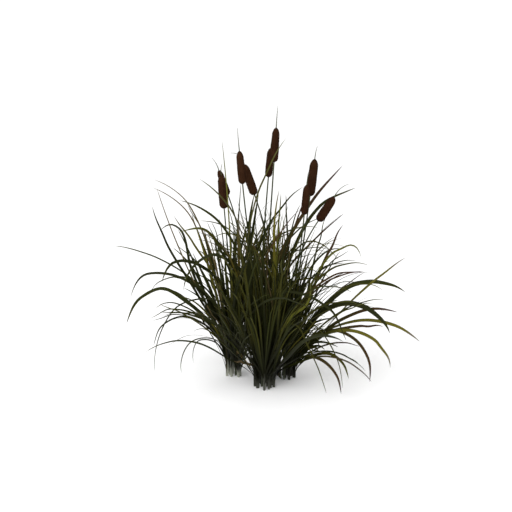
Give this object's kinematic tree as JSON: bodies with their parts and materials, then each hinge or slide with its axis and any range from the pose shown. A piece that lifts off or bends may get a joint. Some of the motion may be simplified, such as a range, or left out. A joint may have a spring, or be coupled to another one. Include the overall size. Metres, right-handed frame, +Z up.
{
  "type": "cattail clump",
  "caption": "Clump of cattails cut off flat at the ground: tall stems with brown felted seed heads and spike tips, among arching sword-shaped leaves.",
  "frame": {"origin": "middle of the tallest stem's flat cut foot, on the surface that the clump stands on", "axes": "+Z up along the growth, +X to the right as pictured, along the clump's longest side, +Y away from the viewer, along its shortest side"},
  "size_m": [1.5999, 1.2686, 1.4482],
  "materials": {
    "stem": "satin, ribbed green",
    "seed_head": "matt, felted dark brown",
    "spike_tip": "matt, dry grey-green",
    "leaf": "satin, ribbed dark green with brown tips"
  },
  "bodies": {
    "root": {"stem_1": "stem", "seed_head_1": "seed_head", "spike_tip_1": "spike_tip", "stem_2": "stem", "seed_head_2": "seed_head", "spike_tip_2": "spike_tip", "stem_3": "stem", "seed_head_3": "seed_head", "spike_tip_3": "spike_tip", "stem_4": "stem", "seed_head_4": "seed_head", "spike_tip_4": "spike_tip", "stem_5": "stem", "seed_head_5": "seed_head", "spike_tip_5": "spike_tip", "stem_6": "stem", "seed_head_6": "seed_head", "spike_tip_6": "spike_tip", "stem_7": "stem", "seed_head_7": "seed_head", "spike_tip_7": "spike_tip", "stem_8": "stem", "seed_head_8": "seed_head", "spike_tip_8": "spike_tip", "stem_9": "stem", "seed_head_9": "seed_head", "spike_tip_9": "spike_tip", "leaf_fan_01": "leaf", "leaf_fan_02": "leaf", "leaf_fan_03": "leaf", "leaf_fan_04": "leaf", "leaf_fan_05": "leaf", "leaf_fan_06": "leaf", "leaf_fan_07": "leaf", "leaf_fan_08": "leaf", "leaf_fan_09": "leaf", "leaf_fan_10": "leaf", "leaf_fan_11": "leaf", "leaf_fan_12": "leaf", "leaf_fan_13": "leaf", "leaf_fan_14": "leaf", "leaf_fan_15": "leaf", "leaf_fan_16": "leaf", "leaf_fan_17": "leaf", "leaf_fan_18": "leaf", "leaf_fan_19": "leaf", "leaf_fan_20": "leaf", "leaf_fan_21": "leaf", "leaf_fan_22": "leaf", "leaf_fan_23": "leaf", "leaf_fan_24": "leaf", "leaf_fan_25": "leaf", "leaf_fan_26": "leaf", "leaf_fan_27": "leaf", "leaf_fan_28": "leaf", "leaf_fan_29": "leaf", "leaf_fan_30": "leaf", "leaf_fan_31": "leaf", "leaf_fan_32": "leaf", "leaf_fan_33": "leaf"}
  },
  "joints": []
}
